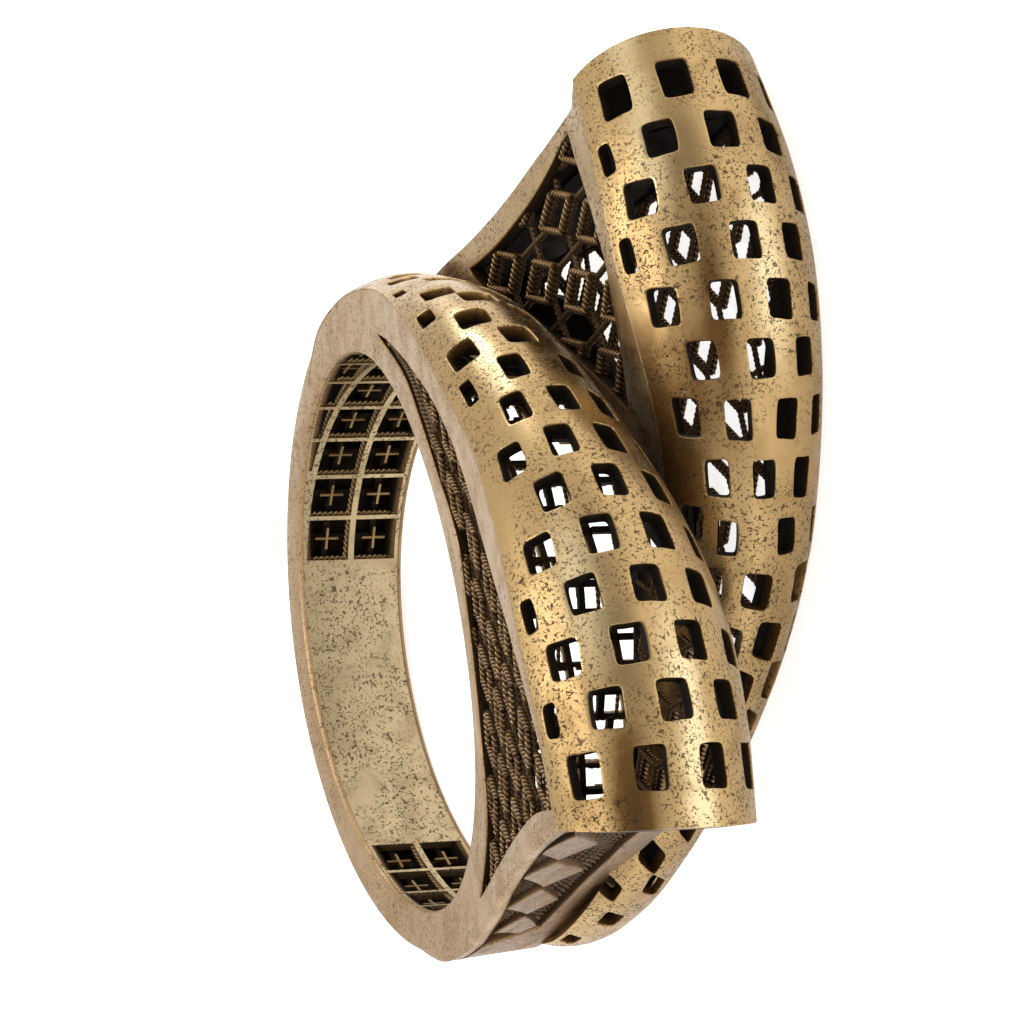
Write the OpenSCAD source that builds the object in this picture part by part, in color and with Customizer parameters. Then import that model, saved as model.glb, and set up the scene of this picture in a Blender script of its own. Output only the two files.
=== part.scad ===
// Openwork bypass ring: a plain-backed finger band that runs into two pierced, vaulted leaves.
// Each leaf rises from its own shoulder of the band and ends free beside the other leaf's shoulder.
// The second leaf is the first one turned half round the X axis, so one set of sizes makes both.
// In the ring's own frame the finger hole runs along Z and the head points along +X.
// The whole ring is then laid on its side, where it rests on the floor.

/* [Band] */
// Radius of the finger hole
bore_r = 8.75; // [7.5:0.05:10.5]
// Wall of the band
band_wall = 1.3; // [1:0.05:1.8]
// Half the band's width, level with the middle of the finger hole
band_half = 2.6; // [2:0.05:3.2]
// Spread of each side face towards the head, per millimetre
side_spread = 0.105; // [0:0.005:0.14]
// Sideways run of both side faces from one shoulder to the other, per millimetre
side_run = 0.08; // [0:0.005:0.1]

/* [Leaves] */
// Wall of a leaf
leaf_wall = 0.55; // [0.4:0.05:0.8]
// Rows of square holes along a leaf
hole_rows = 19; // [11:2:19]
// Share of a row's pitch that its holes take up
hole_share = 0.67; // [0.4:0.01:0.8]
// First row of holes that runs under the other leaf, where only the open side is pierced
covered_row = 12; // [10:1:16]
// Width of the flat frame round a side wall
frame = 0.45; // [0.2:0.05:0.7]
// Depth of the sunk field inside a frame
field_depth = 0.25; // [0.1:0.05:0.35]

/* [End walls] */
// Wall of the plate that closes a leaf's free end, below its sunk field
end_wall = 0.5; // [0.4:0.05:0.8]
// Depth of the sunk field between the end wall's frame and its plates
plate_depth = 0.3; // [0.1:0.05:0.4]

/* [Rest] */
// Turn about Y that lays the ring on its side, where the head's edge and the band touch the floor
rest_turn = -8.44; // [-12:0.01:0]
// Turn about X, made before the turn about Y
rest_roll = -2.25; // [-6:0.01:6]

/* [Hidden] */
$fn = 96;

// Shift after both turns: it sets the ring on the floor, with the middle of its outline at the origin
rest_shift = [-4.79, 0, 3.16];

// Middle line of a leaf's face, a line for every second row of holes, from the free end to the band.
// Columns: x, y, z of the middle, half the arc across the leaf in degrees, radius of that arc,
// rows of holes that the outer edge runs ahead of the middle
LEAF = [
    [18.90, -11.90, 2.10, 75.0, 3.05, 0.00],
    [19.50, -8.55, 2.25, 71.0, 3.30, -0.05],
    [19.40, -5.15, 2.40, 68.0, 3.40, -0.05],
    [18.60, -1.75, 2.65, 69.0, 3.05, -0.05],
    [16.95, 1.35, 2.90, 63.5, 2.75, 0.00],
    [15.05, 4.05, 3.05, 70.0, 2.35, 0.15],
    [12.35, 6.45, 2.95, 65.0, 2.15, 0.85],
    [8.60, 8.50, 2.75, 45.0, 2.10, 1.00],
    [5.42, 9.78, 2.58, 37.0, 1.90, 0.70],
    [2.50, 10.33, 2.45, 26.0, 2.30, 0.35],
    [-0.55, 10.28, 2.28, 19.0, 2.60, 0.10],
    [-3.20, 8.90, 2.08, 14.0, 3.00, 0.00],
];
x_col = 0;
y_col = 1;
mid_col = 2;
arc_col = 3;
vault_col = 4;
askew_col = 5;
// Row of holes that each line of the table lies on: the first line is the free end
first_row = -1.1;
rows_per_line = 2.03;
end_bend = 0.25;
last_row = 20.4;

// Foot of the outer side wall: it runs round the band from under the free end to the shoulder
foot_from = -84;
foot_to = 100;
foot_r = bore_r + 0.3 * band_wall;
foot_sink = 0.05;

// Foot of the inner side wall: it follows the other leaf's face, sunk into its wall
far_foot_row = 15;
far_foot_step = 1.25;
far_foot_sink = 0.3;
// First row of holes where the inner side wall has run out: a lip is left, which leans to upright
lip_row = 4.9;
lip = 0.8;
upright_row = 8;
lean = 0.9;

// Share of the wall kept at the inside corner between a leaf's face and its side wall
corner_share = 0.75;
// A side wall up to this wide has no sunk field; at twice this width its field is fully sunk
narrow = 1.1;

// Edges of the columns of holes, as shares of half the leaf's arc
column_edges = [-1, -0.805, -0.575, -0.345, -0.115, 0.115, 0.345, 0.575, 0.805, 1];
// The same for the narrow tail, from the covered row on: its holes take up more of the arc
tail_edges = [-1, -0.92, -0.84, -0.76, -0.68, -0.4, 0.14, 0.64, 0.88, 1];
// Share of those that is left on the tail's inside, between the corners of its side walls
tail_inside = 0.52;

// End wall, from the leaf's free end down to the band, where its last lines run out into the metal.
// Columns: x, y, z at the outer rim, x, y, z at the inner rim
END = [
    [16.20, -11.08, 4.98, 16.10, -10.60, -0.75],
    [14.40, -10.93, 4.70, 13.90, -10.10, -1.00],
    [11.90, -10.74, 4.20, 11.60, -9.60, -1.30],
    [9.20, -10.62, 3.60, 9.20, -9.40, -1.50],
    [7.30, -10.63, 3.20, 7.30, -9.35, -1.70],
    [5.20, -10.68, 2.70, 5.20, -9.40, -1.70],
    [3.15, -10.68, 2.30, 3.15, -9.60, -1.70],
    [0.90, -10.55, 1.80, 0.90, -9.95, -1.50],
    [-1.80, -10.20, 1.60, -1.80, -9.95, -1.60],
    [-4.40, -8.90, 1.45, -4.40, -8.80, -1.60],
];
// Corners of the end wall's flat plates
// Columns: line of the end wall, share from -1 (inner rim) to 1 (outer rim)
PLATES = [
    [[1.15, 0.55], [2.40, 0.00], [2.70, 0.40], [1.95, 0.78]],
    [[2.85, 0.40], [4.15, -0.20], [4.35, 0.30], [3.20, 0.76]],
    [[4.50, 0.30], [5.60, -0.25], [5.80, 0.20], [4.90, 0.72]],
    [[5.95, 0.20], [6.70, -0.30], [6.85, 0.00], [6.35, 0.60]],
];
// Inner boundaries of the end wall's frame: two of its lines and two shares
frame_top = 0.25;
frame_bottom = 7;
frame_outer = 0.86;
frame_inner = -0.52;
// How far the end wall stands back from the leaf's end
end_back = 0.06;
// Run of the step between a frame and its sunk field, as a share
step = 0.04;

// Catmull-Rom curve through one column of the table, at a row of holes
function spline(a, b, c, d, t) =
    b + 0.5 * t * (c - a + t * (2 * a - 5 * b + 4 * c - d + t * (3 * (b - c) + d - a)));
function line_at(i) = LEAF[max(0, min(len(LEAF) - 1, i))];
function leaf_at(row, col) =
    let(f = (row - first_row) / rows_per_line, i = floor(f))
    spline(line_at(i - 1)[col], line_at(i)[col], line_at(i + 1)[col], line_at(i + 2)[col], f - i);
function middle(row) = [leaf_at(row, x_col), leaf_at(row, y_col)];
function unit(v) = v / norm(v);
function outward(row) =
    let(t = unit(middle(row + 0.05) - middle(row - 0.05))) [t.y, -t.x];
function askew(row, share) = row + leaf_at(row, askew_col) * share;

// A point of the leaf's face, sunk by depth, at a share from -1 (inner edge) to 1 (outer edge)
function face_normal(row, share) =
    let(r = askew(row, share), a = share * leaf_at(r, arc_col), n = outward(r) * cos(a))
    [n.x, n.y, sin(a)];
function face_point(row, share, depth = 0) =
    let(
        r = askew(row, share),
        vault = leaf_at(r, vault_col),
        a = share * leaf_at(r, arc_col),
        p = middle(r) + outward(r) * ((vault - depth) * cos(a) - vault)
    )
    [p.x, p.y, leaf_at(r, mid_col) + (vault - depth) * sin(a)];

function side_face(x, y) = band_half + side_spread * x + side_run * y;
function near_foot(row) =
    let(
        a = foot_from + (row - first_row) / (last_row - first_row) * (foot_to - foot_from),
        p = foot_r * [cos(a), sin(a)]
    )
    [p.x, p.y, side_face(p.x, p.y) - foot_sink];
// The foot lies on the other leaf, level with this leaf's edge
function far_foot(row, edge) =
    let(
        k = far_foot_row - far_foot_step * (row - first_row),
        vault = leaf_at(k, vault_col),
        a = asin(max(-0.95, (-edge.z - leaf_at(k, mid_col)) / vault)),
        p = middle(k) + outward(k) * ((vault - far_foot_sink) * cos(a) - vault),
        n = outward(row),
        under = [edge.x, edge.y] - n * lip + [-n.y, n.x] * max(0, upright_row - row) * lean,
        q = row < lip_row ? [p.x, -p.y] : under
    )
    [q.x, q.y, edge.z];

// A side wall's points from the leaf's edge to its foot: a flat frame, then a sunk field.
// The wall faces up for side 1 and down for side -1; its inside is one wall further in.
function framed(edge, foot, side, normal) =
    let(
        reach = norm(foot - edge),
        share = min(frame / reach, 0.3),
        rim = edge + (foot - edge) * share,
        next = edge + (foot - edge) * (share + step),
        full = max(0, min(1, (reach - narrow) / narrow)),
        down = [0, 0, -side * field_depth * full],
        thin = leaf_wall * corner_share,
        corner = edge - thin * (normal + [0, 0, side]) / (1 + side * normal.z),
        under = foot + down - [0, 0, side * (thin + (leaf_wall - thin) * full)]
    )
    [
        [rim, next + down, foot + down],
        [corner, for (t = [share, share + step, 1]) corner + (under - corner) * t]
    ];
function reversed(list) = [for (i = [len(list) - 1 : -1 : 0]) list[i]];

// Rows where a leaf's grid has a line: its free end, both edges of each row of holes, its last line
half_hole = hole_share / 2;
row_lines = concat(
    [first_row],
    [for (k = [0 : hole_rows - 1]) each [k - half_hole, k + half_hole]],
    [last_row]
);
function row_at(r, share) = r == first_row ? r + end_bend * share * share : r;
function near_side(r) =
    framed(face_point(row_at(r, 1), 1), near_foot(r), 1, face_normal(row_at(r, 1), 1));
function far_side(r) =
    let(edge = face_point(row_at(r, -1), -1))
    framed(edge, far_foot(r, edge), -1, face_normal(row_at(r, -1), -1));
function columns(r) = r < covered_row - 0.5 ? column_edges : tail_edges;
function inner_columns(r) =
    [for (s = columns(r)) if (abs(s) < 1) s * (r < covered_row - 0.5 ? 1 : tail_inside)];
leaf_outer = [for (r = row_lines) concat(
    reversed(far_side(r)[0]),
    [for (s = columns(r)) face_point(row_at(r, s), s)],
    near_side(r)[0]
)];
leaf_inner = [for (r = row_lines) concat(
    reversed(far_side(r)[1]),
    [for (s = inner_columns(r)) face_point(row_at(r, s), s, leaf_wall)],
    near_side(r)[1]
)];

// Holes lie in every second column, shifted by one column from row to row
wall_columns = 3;
function is_hole(i, j) =
    let(row = (i - 1) / 2, cell = j - wall_columns)
    i % 2 == 1 && row < hole_rows && cell > 0 && cell < 8
    && (row % 2 == 0 ? cell % 2 == 1 : cell % 2 == 0)
    && (row < covered_row || cell > 4);

// A wall between two grids of points, with the cells left out that pierced marks
module sheet(outer, inner, pierced = []) {
    rows = len(outer);
    cols = len(outer[0]);
    function at(i, j) = i * cols + j;
    function under(i, j) = rows * cols + at(i, j);
    function gone(i, j) = len(pierced) > 0 && pierced[i][j];
    function open(i, j) = i < 0 || j < 0 || i > rows - 2 || j > cols - 2 || gone(i, j);
    function halves(a, b, c, d) = [[a, b, c], [a, c, d]];
    solid = [for (i = [0 : rows - 2]) for (j = [0 : cols - 2]) if (!gone(i, j)) [i, j]];
    faces = [for (c = solid) let(i = c[0], j = c[1], k = i + 1, l = j + 1) each concat(
        halves(at(i, j), at(i, l), at(k, l), at(k, j)),
        [for (t = halves(under(i, j), under(i, l), under(k, l), under(k, j))) reversed(t)],
        open(i - 1, j) ? halves(at(i, j), under(i, j), under(i, l), at(i, l)) : [],
        open(i + 1, j) ? halves(at(k, l), under(k, l), under(k, j), at(k, j)) : [],
        open(i, j - 1) ? halves(at(k, j), under(k, j), under(i, j), at(i, j)) : [],
        open(i, j + 1) ? halves(at(i, l), under(i, l), under(k, l), at(k, l)) : []
    )];
    polyhedron([for (line = outer) each line, for (line = inner) each line], faces, convexity = 12);
}

module band() {
    slope = [asin(side_run / norm([1, side_spread, side_run])), -atan(side_spread), 0];
    reach = 3 * bore_r;
    module side(z) translate([0, 0, z]) rotate([slope.x, slope.y, 0])
        translate([-reach, -reach, 0]) cube([2 * reach, 2 * reach, reach]);
    difference() {
        cylinder(r = bore_r + band_wall, h = reach, center = true);
        cylinder(r = bore_r, h = 2 * reach, center = true);
        side(band_half);
        rotate([180, 0, 0]) side(band_half);
    }
}

module leaf() {
    marks = [for (i = [0 : len(row_lines) - 2])
        [for (j = [0 : len(leaf_outer[0]) - 2]) is_hole(i, j)]];
    sheet(leaf_outer, leaf_inner, marks);
}

// A point of the end wall, raised by out over the frame's level
function end_point(line, share, out) =
    let(
        i = min(floor(line), len(END) - 2),
        m = END[i] + (END[i + 1] - END[i]) * (line - i),
        t = (share + 1) / 2
    )
    [m[3] + (m[0] - m[3]) * t, m[4] + (m[1] - m[4]) * t - out, m[5] + (m[2] - m[5]) * t];
function end_cap(share, out) =
    face_point(row_at(first_row, share), share, leaf_wall / 2) + [0, end_back - out, 0];

// The frame stands at the level of the leaf's end, the field inside it is sunk
function end_level(line, share) =
    line > frame_top && line < frame_bottom && share < frame_outer && share > frame_inner
        ? -plate_depth : 0;

module end_plate() {
    lines = concat(
        [0, frame_top, frame_top + step],
        [for (i = [1 : frame_bottom - 1]) i],
        [frame_bottom - step],
        [for (i = [frame_bottom : len(END) - 1]) i]
    );
    shares = [1, frame_outer, frame_outer - step, 0.575, 0.3, 0, -0.3,
        frame_inner + step, frame_inner, -1];
    deep = -plate_depth - end_wall;
    sheet(
        concat([[for (s = shares) end_cap(s, 0)]],
            [for (i = lines) [for (s = shares) end_point(i, s, end_level(i, s))]]),
        concat([[for (s = shares) end_cap(s, deep)]],
            [for (i = lines) [for (s = shares) end_point(i, s, deep)]])
    );
    for (c = PLATES) {
        grid = [[c[3], c[0]], [c[2], c[1]]];
        sheet(
            [for (g = grid) [for (p = g) end_point(p[0], p[1], 0)]],
            [for (g = grid) [for (p = g) end_point(p[0], p[1], -plate_depth - end_wall / 2)]]
        );
    }
}

module turned() {
    children();
    rotate([180, 0, 0]) children();
}

module ring() {
    color("#b08d4f")
        translate(rest_shift) rotate([rest_roll, rest_turn, 0]) {
            band();
            turned() {
                leaf();
                end_plate();
            }
        }
}

ring();
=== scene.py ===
import math
import random

import bmesh
import bpy
import numpy as np
from mathutils import Matrix, Vector, geometry


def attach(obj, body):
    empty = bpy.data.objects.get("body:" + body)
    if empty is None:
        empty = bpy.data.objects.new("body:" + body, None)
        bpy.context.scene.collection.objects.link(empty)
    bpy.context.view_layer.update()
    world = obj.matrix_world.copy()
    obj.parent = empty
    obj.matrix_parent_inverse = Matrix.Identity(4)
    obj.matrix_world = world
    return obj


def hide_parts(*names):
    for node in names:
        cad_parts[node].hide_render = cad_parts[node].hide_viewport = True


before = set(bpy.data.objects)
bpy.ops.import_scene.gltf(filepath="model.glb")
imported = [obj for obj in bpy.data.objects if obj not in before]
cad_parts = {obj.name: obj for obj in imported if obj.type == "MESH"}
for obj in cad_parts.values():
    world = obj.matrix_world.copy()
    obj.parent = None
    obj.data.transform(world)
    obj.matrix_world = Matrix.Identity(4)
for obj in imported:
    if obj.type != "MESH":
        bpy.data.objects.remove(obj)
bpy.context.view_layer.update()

scene = bpy.context.scene
chance = random.Random(7)

# Sizes are in millimetres in the ring's own frame: the finger hole runs along Z, the head points
# along +X. place() turns them to the rest on the floor, in metres.
BORE = 8.75
SHANK = 10.05
REST_TURN = math.radians(-8.44)
REST_ROLL = math.radians(-2.25)
REST_SHIFT = np.array([-4.79, 0.0, 3.16])
REST = np.array(Matrix.Rotation(REST_TURN, 3, "Y") @ Matrix.Rotation(REST_ROLL, 3, "X"))


def place(points):
    return (np.asarray(points, float) @ REST.T + REST_SHIFT) / 1000


def turned(points):
    """The same points on the other leaf, half a turn round the X axis away."""
    return np.asarray(points, float) * [1, -1, -1]


def alike(*values):
    """The values as arrays of one shape."""
    return np.broadcast_arrays(*(np.asarray(value, float) for value in values))


def unit(ways):
    """The same directions with length 1."""
    return ways / np.linalg.norm(ways, axis=-1, keepdims=True)


# Leaf surface
# Columns: x, y, z of the middle, half the arc across in degrees, radius of that arc, rows of skew
LEAF = np.array([
    [18.9, -11.9, 2.1, 75.0, 3.05, 0.0], [19.5, -8.55, 2.25, 71.0, 3.3, -0.05],
    [19.4, -5.15, 2.4, 68.0, 3.4, -0.05], [18.6, -1.75, 2.65, 69.0, 3.05, -0.05],
    [16.95, 1.35, 2.9, 63.5, 2.75, 0.0], [15.05, 4.05, 3.05, 70.0, 2.35, 0.15],
    [12.35, 6.45, 2.95, 65.0, 2.15, 0.85], [8.6, 8.5, 2.75, 45.0, 2.1, 1.0],
    [5.42, 9.78, 2.58, 37.0, 1.9, 0.7], [2.5, 10.33, 2.45, 26.0, 2.3, 0.35],
    [-0.55, 10.28, 2.28, 19.0, 2.6, 0.1], [-3.2, 8.9, 2.08, 14.0, 3.0, 0.0]])
FIRST_ROW, LAST_ROW, ROWS_PER_LINE = -1.1, 20.4, 2.03
LEAF_WALL = 0.5
# The even rows of holes, and the shares across the leaf at which their cells end
HOLE_ROWS = 9
HOLES_START, TAIL_ROW = -0.5, HOLE_ROWS - 0.5
EDGES = [-1, -0.805, -0.575, -0.345, -0.115, 0.115, 0.345, 0.575, 0.805, 1]


def catmull_rom(a, b, c, d, t):
    """The point a share t of the way from b to c, on a smooth line through all four."""
    return b + 0.5 * t * (c - a + t * (2 * a - 5 * b + 4 * c - d + t * (3 * (b - c) + d - a)))


def between_lines(table, line):
    """The table's values at a place between its lines."""
    i = np.floor(line).astype(int)
    near = [table[np.clip(i + k, 0, len(table) - 1)] for k in (-1, 0, 1, 2)]
    return catmull_rom(*near, (line - i)[..., None])


def leaf_at(row):
    return between_lines(LEAF, (np.asarray(row, float) - FIRST_ROW) / ROWS_PER_LINE)


def leaf_point(row, share, depth=0.0):
    """A point of the leaf's face at a row of holes and a share across it, sunk by depth."""
    row, share, depth = alike(row, share, depth)
    skewed = row + leaf_at(row)[..., 5] * share
    line = leaf_at(skewed)
    along = unit(leaf_at(skewed + 0.05)[..., :2] - leaf_at(skewed - 0.05)[..., :2])
    out = np.stack([along[..., 1], -along[..., 0]], -1)
    angle = np.radians(share * line[..., 3])
    vault = line[..., 4]
    flat = line[..., :2] + out * ((vault - depth) * np.cos(angle) - vault)[..., None]
    return np.concatenate([flat, (line[..., 2] + (vault - depth) * np.sin(angle))[..., None]], -1)


def smooth_step(x):
    x = np.clip(x, 0, 1)
    return x * x * (3 - 2 * x)


def bump(x, middle, width):
    return np.exp(-((x - middle) / width) ** 2)


# Patina is 0 where the metal is polished, 0.55 where tarnished, 0.95 where black, and below 0 where a
# highlight is painted. Painted light on the leaves: patina, share and width across, row and width
# along; above 0 it is painted shade and painted dark reflections, below 0 a painted highlight. A spot
# fades out all round; a mark of the free end fades out at its row.
LEAF_SHADING = {
    "near": {
        "valley": 0.34,
        "spots": [(-0.4, 0.48, 0.15, 9.0, 2.2), (-0.36, 0.46, 0.16, 3.1, 1.7)],
        "end": [(0.7, 0.38, 0.15, 1.8, 2.4), (0.26, 0.74, 0.13, 2.4, 1.8),
                (0.16, -0.52, 0.2, 1.6, 1.6), (-0.4, -0.1, 0.14, 3.6, 2.5)]},
    "far": {
        "valley": 0.42,
        "spots": [(0.5, -0.3, 0.13, 4.2, 2.0), (0.24, -0.52, 0.14, 5.2, 1.3),
                  (-0.4, 0.15, 0.17, 3.6, 1.6)],
        "end": [(0.24, 0.45, 0.24, 2.6, 1.6), (-0.28, -0.53, 0.15, 3.4, 1.8)]}}


def leaf_shading(row, share, leaf):
    """Painted shade, dark reflections and highlights of a leaf's face, most of the shade in the
    valley beside the other leaf.
    """
    row, share = alike(row, share)
    marks = LEAF_SHADING[leaf]
    # Painted shade in the valley beside the other leaf
    valley = smooth_step((-share - 0.3) / 0.55) * smooth_step((row - 3) / 2.5)
    patina_and_shading = marks["valley"] * valley * smooth_step((15 - row) / 3)
    # Painted dark reflections above 0 and painted highlights below 0, in spots and at the free end
    for dark, middle, across, centre, along in marks["spots"]:
        patina_and_shading = patina_and_shading + dark * bump(share, middle, across) * bump(row, centre, along)
    for dark, middle, across, last, fade in marks["end"]:
        patina_and_shading = patina_and_shading + dark * bump(share, middle, across) * smooth_step((last - row) / fade)
    return patina_and_shading


def end_bend(row, share):
    """The free end is cut in a shallow curve that fades out at the first row of holes."""
    row, share = alike(row, share)
    fade = np.clip((HOLES_START - row) / (HOLES_START - FIRST_ROW), 0, 1)
    return row + 0.25 * share ** 2 * fade


# End wall surface
# Columns: x, y, z at the outer rim, x, y, z at the inner rim
END = np.array([
    [16.2, -11.08, 4.98, 16.1, -10.6, -0.75], [14.4, -10.93, 4.7, 13.9, -10.1, -1.0],
    [11.9, -10.74, 4.2, 11.6, -9.6, -1.3], [9.2, -10.62, 3.6, 9.2, -9.4, -1.5],
    [7.3, -10.63, 3.2, 7.3, -9.35, -1.7], [5.2, -10.68, 2.7, 5.2, -9.4, -1.7],
    [3.15, -10.68, 2.3, 3.15, -9.6, -1.7], [0.9, -10.55, 1.8, 0.9, -9.95, -1.5],
    [-1.8, -10.2, 1.6, -1.8, -9.95, -1.6], [-4.4, -8.9, 1.45, -4.4, -8.8, -1.6]])
# How far the wall's top is set back from the edge of the leaf's free end
CAP_SETBACK = 0.06


def end_point(line, share, out=0.0):
    """A point of the end wall. Lines below 0 run on up into the vault of the leaf's free end."""
    line, share, out = alike(line, share, out)
    rims = between_lines(END, np.clip(line, 0, len(END) - 1))
    points = rims[..., 3:] + (rims[..., :3] - rims[..., 3:]) * ((share + 1) / 2)[..., None]
    cap = leaf_point(end_bend(FIRST_ROW, share), share, LEAF_WALL / 2) + [0, CAP_SETBACK, 0]
    points = points + (cap - points) * np.clip(-line, 0, 1)[..., None]
    points[..., 1] -= out
    return points


# Side faces
def rim_height(angle):
    """Height of the finger hole's upper rim, which is waved round the ring."""
    return (2.575 + 0.975 * np.cos(angle) + 0.696 * np.sin(angle) + 0.15 * np.cos(2 * angle)
            - 0.003 * np.sin(2 * angle) - 0.012 * np.cos(3 * angle) + 0.003 * np.sin(3 * angle))


class Height:
    """A smooth height over the plane through scattered points (thin plate)."""

    def __init__(self, points, slack=1e-3):
        self.at, count = points[:, :2], len(points)
        plane = np.c_[np.ones(count), self.at]
        system = np.block([[self.bend(self.at) + slack * np.eye(count), plane],
                           [plane.T, np.zeros((3, 3))]])
        self.weights = np.linalg.solve(system, np.r_[points[:, 2], 0, 0, 0])

    def bend(self, xy):
        gap = np.linalg.norm(xy[..., None, :] - self.at, axis=-1)
        return np.where(gap > 0, gap ** 2 * np.log(np.maximum(gap, 1e-9)), 0)

    def __call__(self, xy):
        pull, level, slope = np.split(self.weights, [len(self.at), len(self.at) + 1])
        return self.bend(xy) @ pull + level + xy @ slope


def circle(radius, start, stop, count):
    angle = np.radians(np.linspace(start, stop, count))
    return np.c_[radius * np.cos(angle), radius * np.sin(angle)]


def with_rim(xy):
    return np.c_[xy, rim_height(np.arctan2(xy[:, 1], xy[:, 0]))]


side_height = Height(np.vstack([
    with_rim(circle(BORE, -180, 170, 36)), with_rim(circle(SHANK, 110, 240, 14)),
    leaf_point(np.arange(-1.0, 17.1), 1.0), END[1:9, :3]]))
inner_height = Height(np.vstack([
    turned(leaf_point(np.arange(-1.0, 7.1), -1.0)), turned(END[:7, 3:])]))


def side_surface(xy, drop):
    return np.c_[xy, side_height(xy) - drop]


def inner_surface(xy, drop):
    return np.c_[xy, inner_height(xy) - drop]


# Openings of the side walls, as x, y. Each side begins where the one before it ends.
SIDE_PANEL = [
    [(8.93, 5.77), (10.19, 4.8), (12.0, 3.25), (13.2, 1.74), (13.75, 0.46), (14.1, -0.71),
     (14.5, -2.0), (15.12, -3.44), (15.85, -4.86), (16.25, -6.02), (16.51, -7.1),
     (16.72, -8.33), (16.74, -9.47), (16.52, -10.54)],
    [(15.4, -10.25), (14.13, -10.05), (11.2, -9.87), (8.01, -9.82), (4.3, -9.77)],
    [(6.98, -8.13), (7.93, -5.96), (9.02, -3.84), (9.85, -2.2), (10.6, -0.9), (10.45, 0.3),
     (10.0, 1.55), (9.5, 3.22), (8.91, 4.83), (8.02, 5.91), (6.5, 7.35), (7.36, 6.89)]]
INNER_PANEL = [
    [(9.6, 8.59), (10.58, 8.61), (11.57, 8.71), (12.53, 8.88), (13.33, 9.09), (14.12, 9.38),
     (14.84, 9.73), (15.6, 10.12)],
    [(15.85, 9.32), (16.22, 8.2), (16.43, 7.36), (16.53, 6.79), (16.6, 5.91), (16.55, 5.2),
     (16.19, 4.11), (15.7, 2.9), (15.0, 1.6)],
    [(14.1, 2.85), (13.4, 3.7), (12.75, 4.45), (12.1, 5.1), (11.45, 5.7), (10.8, 6.3),
     (10.1, 6.95), (9.4, 7.6), (8.9, 8.2), (8.7, 8.62)]]
# The inner wall's foot, along the valley between the leaves
VALLEY = [(14.5, 0.4), (13.8, 2.4), (13.2, 3.3), (12.4, 4.2), (11.7, 4.95), (11.0, 5.6),
          (10.2, 6.3), (9.3, 7.0), (8.3, 7.7), (7.2, 8.4), (6.4, 8.95)]


# Lines in the plane
def resample(line, step):
    """The line cut into even steps of about this length."""
    way = np.r_[0, np.cumsum(np.linalg.norm(np.diff(line, axis=0), axis=1))]
    stops = np.linspace(0, way[-1], max(2, int(round(way[-1] / step)) + 1))
    return np.stack([np.interp(stops, way, line[:, k]) for k in range(line.shape[1])], 1)


def smooth_line(points, step):
    """Catmull-Rom line through the points, cut at even steps; both ends are kept."""
    p = np.array(points, float)
    p = np.vstack([2 * p[0] - p[1], p, 2 * p[-1] - p[-2]])
    t = np.linspace(0, 1, 24, endpoint=False)[:, None]
    pieces = [catmull_rom(*p[i:i + 4], t) for i in range(len(p) - 3)]
    return resample(np.vstack(pieces + [p[-2][None]]), step)


def loop_of(sides, step, scale=1.0):
    """An opening's closed line, with sharp corners between its sides."""
    whole = [before[-1:] + side for before, side in zip(sides[-1:] + sides, sides)]
    return np.vstack([smooth_line(np.array(side) * scale, step)[:-1] for side in whole])


def rectangle(across, along):
    """The closed line round a grid of two rows of values."""
    return np.vstack([
        np.c_[across, np.full(len(across), along[0])][:-1],
        np.c_[np.full(len(along), across[-1]), along][:-1],
        np.c_[across[::-1], np.full(len(across), along[-1])][:-1],
        np.c_[np.full(len(along), across[0]), along[::-1]][:-1]])


def inside(loop, xy):
    """True where a point lies inside the closed line."""
    x, y = xy[..., 0], xy[..., 1]
    hit = np.zeros(x.shape, bool)
    for (x0, y0), (x1, y1) in zip(loop, np.roll(loop, -1, 0)):
        if y0 != y1:
            hit ^= ((y0 > y) != (y1 > y)) & (x < (x1 - x0) * (y - y0) / (y1 - y0) + x0)
    return hit


def in_region(loops, xy):
    """True inside the first closed line and outside the others."""
    keep = inside(loops[0], xy)
    for hole in loops[1:]:
        keep &= ~inside(hole, xy)
    return keep


def gap_to(loop, xy):
    """Distance of each point to the closed line."""
    best = np.full(xy.shape[:-1], 1e9)
    for start, stop in zip(loop, np.roll(loop, -1, 0)):
        run = stop - start
        t = np.clip(((xy - start) @ run) / max(run @ run, 1e-12), 0, 1)
        best = np.minimum(best, np.linalg.norm(xy - start - t[..., None] * run, axis=-1))
    return best


def inset(loop, by):
    """The closed line moved by a distance, to its left where it runs anticlockwise."""
    before = loop - np.roll(loop, 1, 0)
    after = np.roll(before, -1, 0)
    way = sum(run / np.maximum(np.linalg.norm(run, axis=1, keepdims=True), 1e-9)
              for run in (before, after))
    left = np.stack([-way[:, 1], way[:, 0]], 1)
    # A sharp corner moves no further than this lower bound allows
    left /= np.maximum(np.linalg.norm(left, axis=1, keepdims=True), 0.7)
    return loop + left * by


def area(loop):
    after = np.roll(loop, -1, 0)
    return 0.5 * (loop[:, 0] * after[:, 1] - after[:, 0] * loop[:, 1]).sum()


def wound(loop, anticlockwise):
    return loop if (area(loop) > 0) == anticlockwise else loop[::-1]


def grown(loop, by):
    return inset(loop, -by if area(loop) > 0 else by)


def stretches(line, kept, fewest):
    """The runs of a line's kept points that have the fewest points or more."""
    ends = np.flatnonzero(np.diff(np.r_[False, kept, False]))
    return [line[a:b] for a, b in zip(ends[::2], ends[1::2]) if b - a >= fewest]


def add_to_scene(name, data):
    thing = bpy.data.objects.new(name, data)
    scene.collection.objects.link(thing)
    return thing


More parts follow.
